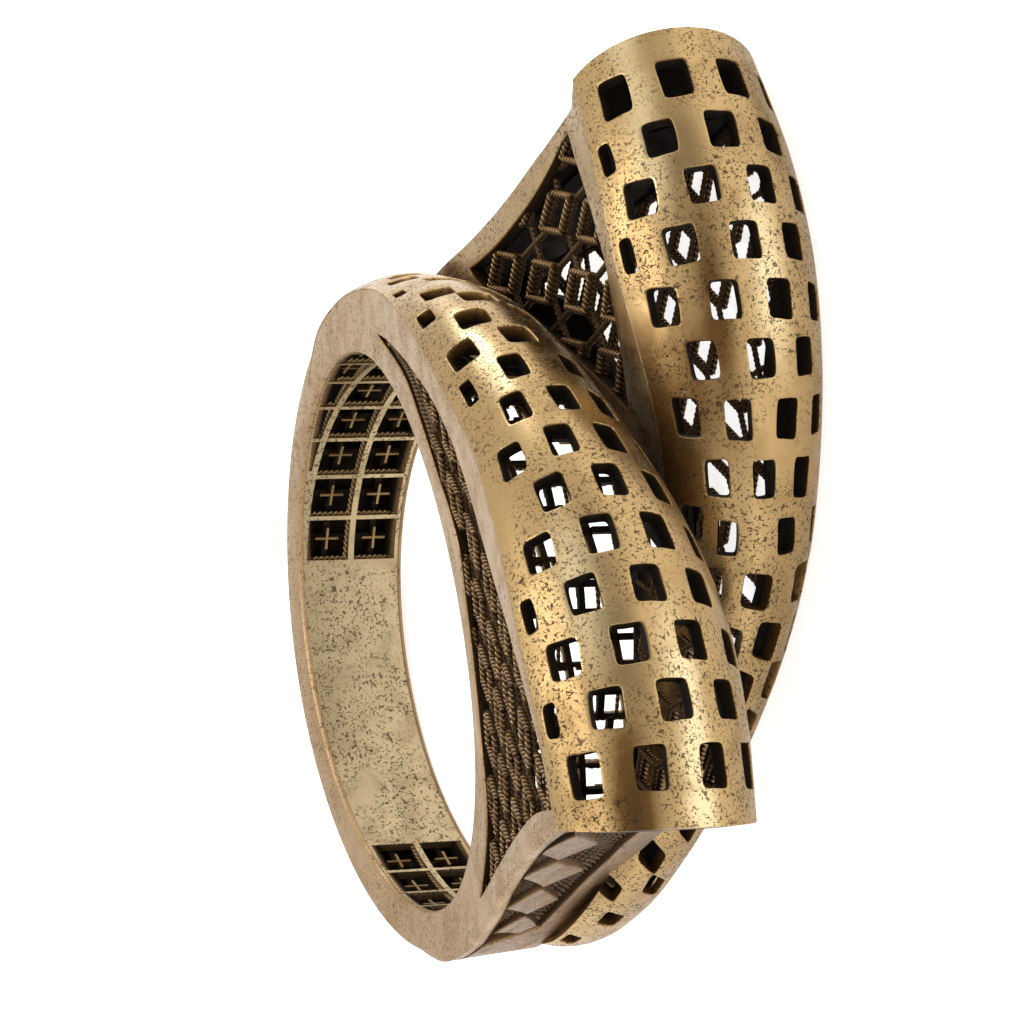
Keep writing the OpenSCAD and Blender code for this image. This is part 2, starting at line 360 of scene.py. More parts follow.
# Mesh store
class Store:
    """Points and faces of one piece, in the ring's frame, with a value for each point of its patina
    and of its painted shade and highlights.
    """

    def __init__(self):
        self.points, self.faces, self.dark, self.count = [], [], [], 0

    def add(self, points, faces, dark=0.0):
        points = np.asarray(points, float).reshape(-1, 3)
        self.points.append(points)
        self.dark.append(np.broadcast_to(np.ravel(dark).astype(float), len(points)))
        self.faces += [tuple(int(k) + self.count for k in f) for f in faces]
        self.count += len(points)

    def make(self, name, material, both=False, sharp=38, other=False):
        """The piece itself: for one leaf, for the other one, or for both."""
        points, dark, faces = np.vstack(self.points), np.concatenate(self.dark), self.faces
        if other:
            points = turned(points)
        if both:
            faces = faces + [tuple(k + len(points) for k in f) for f in faces]
            points, dark = np.vstack([points, turned(points)]), np.r_[dark, dark]
        mesh = bpy.data.meshes.new(name)
        placed = place(points)
        # Nothing reaches below the floor
        placed[:, 2] = np.maximum(placed[:, 2], 0.0)
        mesh.from_pydata(placed.tolist(), [], faces)
        # Patina of each point, with painted shade, dark reflections and highlights added into it
        layer = mesh.attributes.new("patina_and_shading", "FLOAT", "POINT")
        layer.data.foreach_set("value", dark.astype(np.float32))
        bm = bmesh.new()
        bm.from_mesh(mesh)
        bmesh.ops.remove_doubles(bm, verts=bm.verts, dist=1e-7)
        bmesh.ops.recalc_face_normals(bm, faces=bm.faces)
        bm.to_mesh(mesh)
        bm.free()
        mesh.shade_smooth()
        mesh.set_sharp_from_angle(angle=math.radians(sharp))
        mesh.materials.append(material)
        piece = add_to_scene(name, mesh)
        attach(piece, "root")
        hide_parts("ring")


def grid_faces(rows, cols, start=0, closed=False):
    k = np.arange(rows * cols).reshape(rows, cols) + start
    if closed:
        k = np.c_[k, k[:, :1]]
    return np.stack([k[:-1, :-1], k[:-1, 1:], k[1:, 1:], k[1:, :-1]], -1).reshape(-1, 4).tolist()


def spin(degrees):
    c, s = math.cos(math.radians(degrees)), math.sin(math.radians(degrees))
    return np.array([[c, -s], [s, c]])


def squared(points, squareness):
    """Points drawn out from the middle to a rounded square of half size 1."""
    return points / ((np.abs(points) ** squareness).sum(1) ** (1 / squareness))[:, None]


# Pierced leaf
# Lines of points before the first row of holes, and in each row
LEAD_LINES, ROW_LINES = 4, 10
# Length that a share of 1 and a row stand for, where a hole is shaped
CELL_SIZE = np.array([4.0, 1.72])
# Half width and half length of a hole, as share and rows
HOLE_HALF = (0.115, 0.335)
# Edge of a hole from the face to the underside: how far it is grown, its depth and its patina,
# which blackens the walls as patina and painted shade
HOLE_EDGE = [(0.035, 0.0, 0.0), (0.01, 0.01, 0.05), (0.0, 0.035, 0.3), (0.004, 0.075, 0.85),
             (0.01, LEAF_WALL - 0.1, 1.0), (0.02, LEAF_WALL - 0.03, 1.0), (0.05, LEAF_WALL, 1.0)]
# Rows with small holes at the leaf's borders: their share, and half sizes as above
BORDER_ROWS, BORDER_SHARE, BORDER_HALF = (1, 3), 0.885, (0.056, 0.33)
# The last even row, by cell: its holes' share, their drift along the leaf and half width
LAST_EVEN_ROW = {1: (-0.72, -0.12, 0.115), 3: (-0.37, 0.1, 0.115),
                 5: (0.27, 0.03, 0.115), 7: (0.78, -0.05, 0.07)}


class LeafShell(Store):
    """The vaulted leaf and its even rows of rounded square holes, as one closed shell."""

    def __init__(self, leaf):
        super().__init__()
        self.leaf = leaf
        counts = [6] + [8] * 7 + [6]
        strips = [np.linspace(a, b, n, endpoint=False) for a, b, n in zip(EDGES, EDGES[1:], counts)]
        self.shares = np.append(np.concatenate(strips), 1.0)
        self.starts = np.cumsum([0] + counts)
        lead = np.linspace(FIRST_ROW, HOLES_START, LEAD_LINES + 1)[:-1]
        even = np.linspace(HOLES_START, TAIL_ROW, HOLE_ROWS * ROW_LINES + 1)
        self.rows = np.append(lead, even)
        self.plain(0, self.starts[-1], 0, LEAD_LINES)
        for k in range(HOLE_ROWS):
            self.hole_row(k)
        self.close(self.rows, -1.0)
        self.close(self.rows, 1.0)
        self.close(self.rows[0], self.shares)

    def put(self, row, share, depth, faces, dark):
        """Points of the leaf; those of its face take its painted shade, dark reflections and
        highlights.
        """
        dark = np.where(np.asarray(depth) < 0.03, dark + leaf_shading(row, share, self.leaf), dark)
        self.add(leaf_point(end_bend(row, share), share, depth), faces, dark)

    def plain(self, i0, i1, j0, j1):
        """A stretch without holes, as a face and an underside painted black as shade."""
        row, share = np.meshgrid(self.rows[j0:j1 + 1], self.shares[i0:i1 + 1], indexing="ij")
        faces = grid_faces(*row.shape)
        self.put(row.ravel(), share.ravel(), 0.0, faces, 0.0)
        self.put(row.ravel(), share.ravel(), LEAF_WALL, [f[::-1] for f in faces], 1.0)

    def close(self, row, share):
        """A strip that joins a border of the face to the underside, darkening to it as painted shade.
        """
        row, share = alike(row, share)
        count = len(row)
        self.put(np.tile(row, 2), np.tile(share, 2), np.repeat([0.0, LEAF_WALL], count),
                 grid_faces(2, count), np.repeat([0.0, 1.0], count))

    def hole_row(self, k):
        """Four holes, or three and the borders of the leaf, which have small ones near its end."""
        starts, middles = self.starts, self.starts + 4
        if k % 2 == 0:
            cells, cuts = [1, 3, 5, 7], [0, middles[2], middles[4], middles[6], starts[9]]
        else:
            cells, cuts = [2, 4, 6], [starts[1], middles[3], middles[5], starts[8]]
            for side, i0, i1 in ((-1, 0, starts[1]), (1, starts[8], starts[9])):
                if k in BORDER_ROWS:
                    self.pierced(i0, i1, k, side * BORDER_SHARE, BORDER_HALF, 5.0)
                else:
                    j0 = LEAD_LINES + k * ROW_LINES
                    self.plain(i0, i1, j0, j0 + ROW_LINES)
        for cell, i0, i1 in zip(cells, cuts, cuts[1:]):
            share, drift, half = (EDGES[cell] + EDGES[cell + 1]) / 2, 0.0, HOLE_HALF[0]
            if k == HOLE_ROWS - 1:
                share, drift, half = LAST_EVEN_ROW[cell]
            self.pierced(i0, i1, k, share, (half, HOLE_HALF[1]), chance.uniform(6.5, 9.0), drift)

    def pierced(self, i0, i1, k, share, half, squareness, drift=0.0):
        """The cell of one hole, between two lines of points along the leaf."""
        j0 = LEAD_LINES + k * ROW_LINES
        j1 = j0 + ROW_LINES
        outer = rectangle(self.shares[i0:i1 + 1], self.rows[j0:j1 + 1])
        steps = [np.linspace(-1, 1, n + 1) for n in (i1 - i0, ROW_LINES)]
        shape = squared(rectangle(*steps), squareness)
        turn = spin(chance.uniform(-3, 3))
        hole = shape * half * CELL_SIZE * chance.uniform(0.97, 1.03)
        wave = np.sin(3 * np.arctan2(shape[:, 1], shape[:, 0]) + chance.uniform(0, 6))
        hole = (hole * (1 + 0.02 * wave[:, None])) @ turn.T / CELL_SIZE
        hole += [share + chance.uniform(-0.006, 0.006), k + drift + chance.uniform(-0.015, 0.015)]
        centre = hole.mean(0)
        arm = (hole - centre) * CELL_SIZE
        reach = np.linalg.norm(arm, axis=1, keepdims=True)
        edge = [(centre + arm * (1 + by / reach) / CELL_SIZE, depth, dark)
                for by, depth, dark in HOLE_EDGE]
        lip, under_lip = edge[0][0], edge[-1][0]
        face = [(outer + (lip - outer) * t, 0.0, 0.0) for t in (0.0, 0.35, 0.7, 0.9)]
        # The underside round a hole is painted black as shade
        back = [(outer + (under_lip - outer) * t, LEAF_WALL, 1.0) for t in (0.75, 0.4, 0.0)]
        rings, depths, darks = zip(*(face + edge + back))
        spots = np.concatenate(rings)
        self.put(spots[:, 1], spots[:, 0], np.repeat(depths, len(outer)),
                 grid_faces(len(rings), len(outer), closed=True), np.repeat(darks, len(outer)))


# Flat plates with openings
# Rounded edge of a plate: shares of its radius inwards and down
ROUND_EDGE = [(0.0, 1.0), (0.3, 0.45), (0.65, 0.12), (1.0, 0.0)]


def grid_inside(loops, spacing, margin):
    """Points in a triangular pattern over a region, clear of its borders."""
    low, high = loops[0].min(0), loops[0].max(0)
    nx, ny = ((high - low) / spacing).astype(int) + 2
    gx, gy = np.meshgrid(np.arange(nx), np.arange(ny))
    xy = np.stack([low[0] + (gx + 0.5 * (gy % 2)) * spacing, low[1] + gy * spacing * 0.87], -1)
    xy = xy.reshape(-1, 2)
    xy = xy[in_region(loops, xy)]
    return xy[np.min([gap_to(loop, xy) for loop in loops], axis=0) > margin]


def plate(store, outline, openings, surface, thick, radius=0.0, spacing=0.4, slope=0.06,
          face=0.0, under=1.0, lean=True):
    """A closed plate over a region of the plane. surface(xy, drop) gives its points in space. Each
    opening has a line, and a radius and a patina of its rounded edge; a high patina there is painted
    shade on the opening's walls. Walls lean in by slope. The patina is face, a number or a function
    of xy, on the face and under on the back, where it is painted shade."""
    loops = [wound(outline, True)] + [wound(line, False) for line, _, _ in openings]
    radii = [radius] + [around for _, around, _ in openings]
    points, drops, edges, firsts, count = [], [], [], [], 0
    for loop, around in zip(loops, radii):
        firsts.append(count)
        for reach, fall in ROUND_EDGE if around > 0 else ROUND_EDGE[:1]:
            points.append(inset(loop, around * reach))
            drops.append(np.full(len(loop), around * fall))
            edges += [(count + i, count + (i + 1) % len(loop)) for i in range(len(loop))]
            count += len(loop)
    grid = grid_inside(loops, spacing, max(radii + [0.05]) + 0.4 * spacing)
    points.append(grid)
    drops.append(np.zeros(len(grid)))
    flat, drop = np.vstack(points), np.concatenate(drops)
    cut = geometry.delaunay_2d_cdt([Vector(p) for p in flat], edges, [], 0, 1e-6)
    xy = np.array([[v.x, v.y] for v in cut[0]])
    fall = np.array([drop[sources[0]] if sources else 0.0 for sources in cut[3]])
    tris = np.array([list(f) for f in cut[2]])
    tris = tris[in_region(loops, xy[tris].mean(1))].tolist()
    # The underside has the same triangles, drawn in under the walls
    n = len(xy)
    below = xy.copy()
    place_of = {k: i for i, sources in enumerate(cut[3]) for k in sources}
    dark = np.array(face(xy)) if callable(face) else np.full(n, float(face))
    rear = np.full(n, float(under))
    for k, loop in enumerate(loops):
        ids = [place_of[firsts[k] + i] for i in range(len(loop))]
        if k > 0:
            dark[ids] = np.maximum(dark[ids], openings[k - 1][2])
        elif lean:
            rear[ids] = dark[ids]
        if k > 0 or lean:
            below[ids] = inset(loop, slope)
    faces = tris + [[a + n, c + n, b + n] for a, b, c in tris]
    sides = dict.fromkeys(side for a, b, c in tris for side in ((a, b), (b, c), (c, a)))
    faces += [[b, a, a + n, b + n] for a, b in sides if (b, a) not in sides]
    store.add(np.vstack([surface(xy, fall), surface(below, thick)]), faces,
              np.r_[dark, rear])


# Leaf's tail
# Its holes: row, share, width and length
TAIL_NEAR = [
    (9.35, -0.56, 0.8, 1.05), (9.0, 0.02, 0.9, 1.05), (8.95, 0.64, 0.9, 1.1),
    (10.25, -0.34, 0.9, 1.05), (9.8, 0.33, 0.92, 1.05), (10.45, 0.76, 0.55, 0.8),
    (10.85, -0.62, 0.7, 1.0), (10.68, 0.09, 0.9, 0.95), (11.15, 0.43, 0.9, 0.95),
    (11.8, 0.8, 0.4, 0.6), (11.35, -0.3, 0.8, 0.95), (12.22, 0.08, 0.9, 0.9),
    (12.72, 0.52, 0.85, 0.9), (12.2, -0.55, 0.7, 0.9)]
TAIL_FAR = [
    (9.05, -0.54, 0.85, 1.1), (9.05, -0.02, 0.9, 1.1), (8.95, 0.62, 0.9, 1.1),
    (10.12, -0.27, 0.92, 1.1), (9.9, 0.24, 0.92, 1.1), (9.8, 0.78, 0.7, 1.0),
    (10.85, -0.6, 0.85, 1.05), (10.8, 0.03, 0.9, 1.05), (10.5, 0.6, 0.9, 1.05),
    (11.55, -0.25, 0.9, 1.05), (11.3, 0.45, 0.9, 1.05), (12.15, 0.1, 0.85, 1.0),
    (11.95, 0.75, 0.6, 0.9), (12.6, 0.48, 0.85, 1.0), (12.85, -0.25, 0.8, 0.95)]
# Both leaves end alike
TAIL_END = [
    (13.4, 0.32, 0.85, 0.95), (14.65, -0.22, 0.86, 1.05), (15.3, 0.38, 0.8, 1.05),
    (16.15, -0.76, 0.62, 0.85), (17.1, -0.08, 0.72, 0.95), (18.5, -0.58, 0.5, 0.8)]
# The tail's own plane: x is the row and y the share, times these
TAIL_SCALE = np.array([1.8, 2.4])


def leaf_tail(holes, leaf):
    """The narrowing tail with its scattered holes; it goes on where the even rows end."""
    outline = rectangle(np.linspace(TAIL_ROW, LAST_ROW, 110), np.linspace(-1, 1, 69))
    angle = np.linspace(0, 2 * math.pi, 33)[:-1] + math.pi / 4
    shape = squared(np.c_[np.cos(angle), np.sin(angle)], 7)
    openings = []
    for row, share, wide, high in holes:
        line = leaf_at(row)
        ahead = leaf_at(row + 0.1) - leaf_at(row - 0.1)
        pace, half_arc = np.linalg.norm(ahead[:2]) / 0.2, math.radians(line[3]) * line[4]
        hole = (shape * [high / 2, wide / 2]) @ spin(chance.uniform(-3, 3)).T
        openings.append(((hole / [pace, half_arc] + [row, share]) * TAIL_SCALE, 0.035, 0.35))
    store = Store()
    # The tail's face takes the leaf's painted shade, dark reflections and highlights
    plate(store, outline * TAIL_SCALE, openings,
          lambda xy, drop: leaf_point(*(xy / TAIL_SCALE).T, drop), LEAF_WALL,
          spacing=0.2, slope=0.02, lean=False, face=lambda xy: leaf_shading(*(xy / TAIL_SCALE).T, leaf))
    return store


# Side walls
SIDE_WALL = 0.5
PANEL_STEP = 0.2


def side_outline():
    """The near side face's outline: leaf edge, shank, rim of the end wall."""
    rows = np.linspace(FIRST_ROW, 19.5, 170)
    edge = leaf_point(end_bend(rows, 1.0), 1.0)[:, :2]
    # The leaf's edge counts down to where its tail has come in to the shank
    edge = edge[:np.argmax((np.linalg.norm(edge, axis=1) < SHANK + 0.02) & (rows > 12))]
    rim = smooth_line(END[:, :2], 0.2)
    rim = rim[np.linalg.norm(rim, axis=1) > SHANK + 0.02][::-1]
    start = math.degrees(math.atan2(edge[-1][1], edge[-1][0])) + 1.5
    stop = math.degrees(math.atan2(rim[0][1], rim[0][0])) % 360 - 1.5
    return np.vstack([resample(edge, 0.2), circle(SHANK, start, stop, 150), rim])


def inner_outline():
    """The inner wall's outline: edge of the leaf, valley, rim of the end wall."""
    rows = np.linspace(FIRST_ROW, 8.0, 60)
    edge = turned(leaf_point(end_bend(rows, -1.0), -1.0))[:, :2]
    rim = turned(np.c_[END[:5, 3:5], np.zeros(5)])[::-1, :2]
    return np.vstack([edge, smooth_line(VALLEY, 0.25), smooth_line(rim, 0.25)[1:]])


def side_darkening(xy):
    """The side faces are duller at the ring's lower end."""
    return 0.15 * smooth_step((-5.5 - xy[:, 1]) / 2.5)


def valley_shade(xy):
    # Painted shade along the valley between the leaves, and darker where y falls below 5.5 mm
    gap = np.linalg.norm(xy[:, None] - smooth_line(VALLEY, 0.3), axis=-1).min(1)
    return 0.42 * smooth_step((1.5 - gap) / 0.8) + 0.2 * smooth_step((5.5 - xy[:, 1]) / 2.5)


# Twisted wire
def rope(store, path, normal, radius, dark, pitch=0.17, sides=6, steps=3, deep=0.68):
    """A two-strand twisted wire along a line of points, closed at both ends. Its patina is dark on
    the strands and deep between them, as patina and painted shade, so that only the crests stay
    bright."""
    line = resample(np.asarray(path, float), pitch / steps)
    count = len(line)
    along = unit(np.gradient(line, axis=0))
    side = unit(np.cross(along, np.asarray(normal, float)))
    up = np.cross(side, along)
    around = np.arange(sides) * 2 * math.pi / sides
    lobe = 0.60 + 0.40 * np.abs(np.cos(around))
    angle = around + (np.arange(count) * math.pi / steps + chance.uniform(0, 3))[:, None]
    ring = np.cos(angle)[..., None] * side[:, None] + np.sin(angle)[..., None] * up[:, None]
    points = line[:, None] + ring * (radius * lobe)[None, :, None]
    faces = grid_faces(count, sides, closed=True)
    faces += [list(range(sides))[::-1], [(count - 1) * sides + k for k in range(sides)]]
    # Painted shade between the strands
    crest = (lobe - lobe.min()) / (lobe.max() - lobe.min())
    store.add(points, faces, np.tile(dark + (deep - dark) * (1 - crest), count))


# The net's diamond: half sizes, arms of the cross beside it, and half the way to the next
DIAMOND, CROSS_ARMS, NET_STEP = (0.86, 0.6), (0.84, 0.58), (1.68, 1.16)
NET_REACH = 16


def net_wires(depths):
    """Straight wires of the net in its own plane: start, stop and the depths they lie at."""
    wires = []
    tips = [(DIAMOND[0], 0), (0, DIAMOND[1]), (-DIAMOND[0], 0), (0, -DIAMOND[1])]
    for m in range(-NET_REACH, NET_REACH + 1):
        for n in range(-NET_REACH, NET_REACH + 1):
            middle = np.array([NET_STEP[0] * (m - n), -NET_STEP[1] * (m + n)])
            hub = middle + [0, -NET_STEP[1]]
            wires += [(middle + tips[k], middle + tips[(k + 1) % 4], depths) for k in range(4)]
            for arm in ([CROSS_ARMS[0], 0], [0, CROSS_ARMS[1]]):
                wires.append((hub - arm, hub + arm, depths[1:]))
    return wires


def diamond_net(hole, surface, origin, turn, depths, scale, radius):
    """Diamonds of twisted wire with a cross in each gap between them, over an opening. Each
    depth has a layer of wire, so that the gaps have beaded walls; the crosses lie lower."""
    store, region = Store(), grown(hole, 0.12)
    low, high = region.min(0), region.max(0)
    for start, stop, layers in net_wires(depths):
        line = resample(np.array([start, stop]) * scale, 0.06) @ spin(turn).T + origin
        if (line.max(0) < low).any() or (line.min(0) > high).any():
            continue
        for run in stretches(line, inside(region, line), 5):
            bend = 0.03 * math.sin(chance.uniform(0, 6))
            for depth in layers:
                # Each deeper layer takes more patina, as painted shade
                rope(store, surface(run, depth + bend), (0, 0, 1), radius,
                     0.05 + 0.35 * depths.index(depth))
    return store


def side_net(hole):
    """The outer side walls' net, with wires that run into its narrow tip beside the bore."""
    store = diamond_net(hole, side_surface, (7.71, -4.6), 90, (0.2, 0.38), 0.98, 0.105)
    tip = smooth_line(SIDE_PANEL[2][5:], 0.1)
    for out, depth in ((0.12, 0.22), (0.14, 0.42), (0.34, 0.3)):
        line = tip * (1 + out / np.linalg.norm(tip, axis=1, keepdims=True))
        line = line[inside(hole, line)]
        # Deeper wires take more patina, as painted shade
        rope(store, side_surface(line, depth), (0, 0, 1), 0.11, 0.05 + depth)
    return store


# Lining of the finger hole and shank
# Angle from window to window and of a window, and half the plain palm stretch, in degrees
WINDOW_PITCH, WINDOW, PLAIN_HALF = 9.85, 8.95, 33.5
# Steps of points along a window and along the plain stretch
WINDOW_STEPS, PLAIN_STEPS = 8, 60
# Height from row to row of windows and of a window, and the strip along the rim
ROW_PITCH, ROW_OPEN, RIM_STRIP = 1.64, 1.44, 0.28
# The lining stops short of the rims, under the side faces' rounded edge
LINING_SETBACK, SHANK_SETBACK = 0.13, 0.15
LINING_FACE, LINING_BACK = BORE + 0.012, BORE + 0.3


def round_points(radius, angle, height):
    """Points at a radius, an angle and a height in the finger hole."""
    return np.stack(alike(radius * np.cos(angle), radius * np.sin(angle), height), -1)


def rims(angle, setback):
    """Heights of the far and the near rim, both drawn in by a setback."""
    return -rim_height(-angle) + setback, rim_height(angle) - setback


def row_foots(angle):
    """Heights at which the rows of windows begin: they follow one rim on each half of the ring."""
    far, near = rims(angle, RIM_STRIP)
    degrees = (np.degrees(angle) + 180) % 360 - 180
    upper = far + ROW_PITCH * np.arange(5)[:, None]
    lower = (near - ROW_PITCH * np.arange(5)[:, None] - ROW_OPEN)[::-1]
    share = smooth_step((degrees + 60) / 120)
    share = np.where(np.abs(degrees) > 147, 0.5, share)
    return upper * share + lower * (1 - share)


def window_edges():
    """First and last angle of each window, from the plain palm stretch round the head."""
    count = int((360 - 2 * PLAIN_HALF) / WINDOW_PITCH)
    pitch = (360 - 2 * PLAIN_HALF) / count
    gap = pitch * (1 - WINDOW / WINDOW_PITCH) / 2
    begin = PLAIN_HALF - 180
    return [(begin + i * pitch + gap, begin + (i + 1) * pitch - gap) for i in range(count)]


def lining_grid(windows):
    """Angles and heights of the lining's points, and the number of the window at each step of the
    angle, or -1."""
    degrees, at = [PLAIN_HALF - 180], [-1]
    for i, (first, last) in enumerate(windows):
        degrees += list(np.linspace(first, last, WINDOW_STEPS + 1))
        at += [i] * WINDOW_STEPS + [-1]
    degrees += list(np.linspace(180 - PLAIN_HALF, 180 + PLAIN_HALF, PLAIN_STEPS + 1))
    at += [-1] * PLAIN_STEPS
    angle = np.radians(degrees)
    far, near = rims(angle, LINING_SETBACK)
    levels = [far]
    for foot in row_foots(angle):
        levels += [np.clip(foot, far + 0.1, near - 0.1),
                   np.clip(foot + ROW_OPEN, far + 0.1, near - 0.1)]
    return angle, np.array(levels + [near]), at


def lining_bars(angle, height, is_open):
    """Flat bars between the windows: two skins, joined round every window and rim."""
    rows, cols = height.shape
    size = rows * cols

    def solid(i, j):
        return 0 <= i < rows - 1 and 0 <= j < cols - 1 and not is_open(i, j)

    faces = []
    for i in range(rows - 1):
        for j in range(cols - 1):
            if not solid(i, j):
                continue
            k = i * cols + j
            corners = [k, k + 1, k + 1 + cols, k + cols]
            faces += [corners, [c + size for c in corners[::-1]]]
            for n, (di, dj) in enumerate(((-1, 0), (0, 1), (1, 0), (0, -1))):
                if not solid(i + di, j + dj):
                    a, b = corners[n], corners[(n + 1) % 4]
                    faces.append([b, a, a + size, b + size])
    store = Store()
    skins = [round_points(radius, angle, height) for radius in (LINING_FACE, LINING_BACK)]
    # The back skin is painted dark as shade
    store.add(skins, faces, np.repeat([0.0, 0.8], size))
    return store


def window_bar(store, centre, reach, half, face, back, dark):
    """A small bar over a place of the lining; that and its reach are degrees and a height."""
    line = resample(np.array([centre - reach, centre + reach]), 1.0 if reach[0] else 0.12)
    run = np.array([math.radians(reach[0]) * BORE, reach[1]])
    side = np.array([-run[1], run[0]]) * half / np.linalg.norm(run)
    corners = [(-1, face), (1, face), (1, back), (-1, back)]
    points = [round_points(radius, math.radians(degrees) + sign * side[0] / BORE,
                           height + sign * side[1])
              for degrees, height in line for sign, radius in corners]
    faces = grid_faces(len(line), 4, closed=True)
    faces += [[3, 2, 1, 0], [len(points) - 4 + k for k in range(4)]]
    store.add(points, faces, dark)


def window_wire(store, start, stop):
    """Beaded wire along an edge of a window."""
    line = resample(np.array([start, stop]), 0.2)
    angle = np.radians(line[:, 0])
    level = start[0] != stop[0]
    normal = (0.01, 0.02, 1.0) if level else (math.cos(angle[0]), math.sin(angle[0]), 0.01)
    rope(store, round_points(BORE + 0.14, angle, line[:, 1]), normal, 0.075, 0.0, pitch=0.19)


def lining():
    """The pierced lining of the finger hole: flat bars and windows, in each window a raised small
    cross on a deeper, broader one, and beaded wire on two edges."""
    windows = window_edges()
    angle, height, at = lining_grid(windows)

    def is_open(i, j):
        if i % 2 == 0 or at[j] < 0:
            return False
        return (height[i + 1, j:j + 2] - height[i, j:j + 2]).min() > 0.12

    crosses, lattice = Store(), Store()
    arm = math.degrees(0.36 / BORE)
    for i, (left, right) in enumerate(windows):
        first = at.index(i)
        middle = (left + right) / 2
        for k in range(1, len(height) - 1, 2):
            if not is_open(k, first) or not is_open(k, first + WINDOW_STEPS - 1):
                continue
            foot, top = height[k:k + 2, first + WINDOW_STEPS // 2]
            if top - foot > 0.9:
                wide, high = (right - left) / 2 + 0.5, (top - foot) / 2 + 0.05
                centre = np.array([middle, (foot + top) / 2])
                # The lattice's deeper, broader cross is painted near black as shade
                for store, reach, *bar in (
                        (crosses, (arm, 0), 0.04, BORE + 0.14, LINING_BACK, 0.3),
                        (crosses, (0, 0.4), 0.04, BORE + 0.15, LINING_BACK, 0.4),
                        (lattice, (wide, 0), 0.1, BORE + 0.32, BORE + 0.5, 0.9),
                        (lattice, (0, high), 0.1, BORE + 0.33, BORE + 0.5, 0.9)):
                    window_bar(store, centre, reach, *bar)
            window_wire(crosses, (left, foot + 0.05), (right, foot + 0.05))
            window_wire(crosses, (right - 0.35, foot), (right - 0.35, top))
    return lining_bars(angle, height, is_open), crosses, lattice


def shank_shell():
    """The shank's outer skin, which also closes the windows of the lining behind it. Its inner skin,
    seen through the windows, is painted black as shade.
    """
    angle = np.radians(np.linspace(64, 296, 200))
    far, near = rims(angle, SHANK_SETBACK)
    height = far + (near - far) * np.linspace(0, 1, 12)[:, None]
    # It sinks a little where the end walls and the leaves' tails lie over it
    covered = smooth_step((np.degrees(np.abs(angle - math.pi)) - 52) / 8)
    skins = [round_points(radius, angle, height) for radius in (SHANK - 0.08 * covered, BORE + 0.62)]
    size = height.size
    ids = np.arange(size).reshape(height.shape)
    faces = grid_faces(*height.shape)
    faces += [f[::-1] for f in grid_faces(*height.shape, size)]
    border = np.r_[ids[0, :-1], ids[:-1, -1], ids[-1, :0:-1], ids[:0:-1, 0]]
    faces += [[b, a, a + size, b + size] for a, b in zip(border, np.roll(border, -1))]
    store = Store()
    store.add(skins, faces, np.repeat([0.0, 0.95], size))
    return store


# End wall
# Its own plane: x is the line down the wall and y the share, times these
END_SCALE = np.array([2.0, 3.0])
# It stops short of both rims, under the rounded edges of the side walls
END_TOP, END_BOTTOM = 0.955, -0.98
# Depths of the plates, of the wires behind them and of the back
PLATE_DEPTH, FILLING_DEPTH, BACK_DEPTH = 0.04, 0.38, 0.42
END_FIELD = [
    [(2.0, 0.84), (4.0, 0.86), (6.0, 0.88), (7.2, 0.86)],
    [(7.0, 0.4), (6.9, 0.0), (6.8, -0.42)],
    [(5.0, -0.5), (3.0, -0.52), (1.6, -0.5), (0.9, -0.4)],
    [(0.55, 0.0), (0.35, 0.4), (0.35, 0.8)]]
PLATES = [
    [(1.15, 0.55), (2.4, 0.0), (2.7, 0.4), (1.95, 0.78)],
    [(2.85, 0.4), (4.15, -0.2), (4.35, 0.3), (3.2, 0.76)],
    [(4.5, 0.3), (5.6, -0.25), (5.8, 0.2), (4.9, 0.72)],
    [(5.95, 0.2), (6.7, -0.3), (6.85, 0.0), (6.35, 0.6)]]


def end_surface(xy, drop):
    return end_point(*(xy / END_SCALE).T, -drop)


def end_field():
    return loop_of(END_FIELD, 0.2, END_SCALE)


def end_frame():
    """The end wall with its opening, brighter towards the lower end, and the four flat plates."""
    store = Store()
    outline = rectangle(np.linspace(-1, 9, 60) * END_SCALE[0],
                        np.linspace(END_TOP, END_BOTTOM, 40) * END_SCALE[1])
    plate(store, outline, [(end_field(), 0.08, 0.3)], end_surface, 0.5, spacing=0.36, slope=0.0,
          under=0.9, face=lambda xy: -0.13 * smooth_step((xy[:, 0] / END_SCALE[0] - 6.8) / 1.6))
    for corners in PLATES:
        line = np.array(corners + corners[:1]) * END_SCALE
        loop = np.vstack([resample(line[k:k + 2], 0.12)[:-1] for k in range(4)])
        middle = loop.mean(0)
        plate(store, middle + (loop - middle) * 1.04, [],
              lambda xy, drop: end_surface(xy, drop + PLATE_DEPTH), 0.3, 0.05,
              spacing=0.25, slope=-0.02, under=0.9)
    return store


def end_filling():
    """Waved twisted wires in lines along the field, behind the plates."""
    store = Store()
    wide = grown(end_field(), 0.25)
    for share in np.arange(-0.5, 0.9, 0.115):
        line = np.c_[np.linspace(0.3, 7.2, 160), np.full(160, share)] * END_SCALE
        line[:, 1] += 0.12 * np.sin(line[:, 0] * 1.9 + share * 9)
        for run in stretches(line, inside(wide, line), 4):
            # Dark wires, black between the strands: patina and painted shade; darker at random per
            # wire
            rope(store, end_surface(run, FILLING_DEPTH), (0, -1, 0.05), 0.16,
                 chance.uniform(0.45, 0.62), pitch=0.3, sides=8, steps=4, deep=1.0)
    return store


def end_back():
    # A black sheet behind the wires, as painted shade
    store = Store()
    plate(store, grown(end_field(), 0.25), [], lambda xy, drop: end_surface(xy, drop + BACK_DEPTH),
          0.2, spacing=0.6, slope=0.0, face=0.95)
    return store


# Materials
def set_inputs(node, values):
    """Numbers and colours go into the node's sockets; what comes from another node is linked."""
    for key, value in values.items():
        if isinstance(value, bpy.types.NodeSocket):
            node.id_data.links.new(value, node.inputs[key])
        else:
            node.inputs[key].default_value = value


